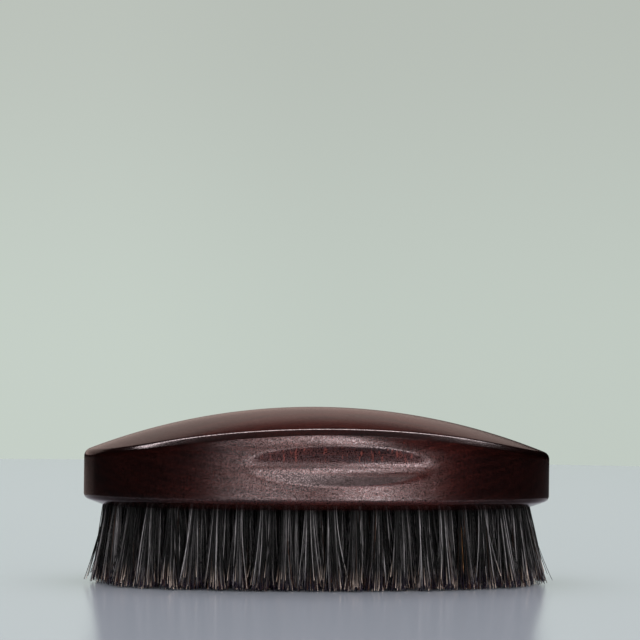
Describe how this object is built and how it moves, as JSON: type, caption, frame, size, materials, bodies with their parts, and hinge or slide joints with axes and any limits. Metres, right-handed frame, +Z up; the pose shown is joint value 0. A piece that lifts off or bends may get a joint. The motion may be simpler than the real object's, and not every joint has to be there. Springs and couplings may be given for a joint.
{
  "type": "beard brush",
  "caption": "Oval palm brush of dark stained wood with a domed back, a finger scoop along each long side and dense rows of short boar bristle, standing on its tips.",
  "frame": {"origin": "centre of the level plane of the trimmed bristle tips, which the brush stands on", "axes": "+X along the brush, +Y across it towards the back long side, +Z up from the tips to the domed back"},
  "size_m": [0.12, 0.063, 0.045],
  "materials": {
    "stained_wood": "dark mahogany stain under a satin lacquer, with fine grain and pores",
    "boar_bristle": "black boar bristle with a soft sheen and paler brown tips",
    "anchor_wire": "plain drawn flat wire"
  },
  "bodies": {
    "root": {"wooden_body": "stained_wood", "tufts_row_1_front": "boar_bristle", "tufts_row_1_back": "boar_bristle", "tufts_row_2_front": "boar_bristle", "tufts_row_2_back": "boar_bristle", "tufts_row_3_front": "boar_bristle", "tufts_row_3_back": "boar_bristle", "tufts_row_4_front": "boar_bristle", "tufts_row_4_back": "boar_bristle", "tufts_row_5_front": "boar_bristle", "tufts_row_5_back": "boar_bristle", "tufts_row_6_middle": "boar_bristle", "anchors_row_1_front": "anchor_wire", "anchors_row_1_back": "anchor_wire", "anchors_row_2_front": "anchor_wire", "anchors_row_2_back": "anchor_wire", "anchors_row_3_front": "anchor_wire", "anchors_row_3_back": "anchor_wire", "anchors_row_4_front": "anchor_wire", "anchors_row_4_back": "anchor_wire", "anchors_row_5_front": "anchor_wire", "anchors_row_5_back": "anchor_wire", "anchors_row_6_middle": "anchor_wire"}
  },
  "joints": []
}
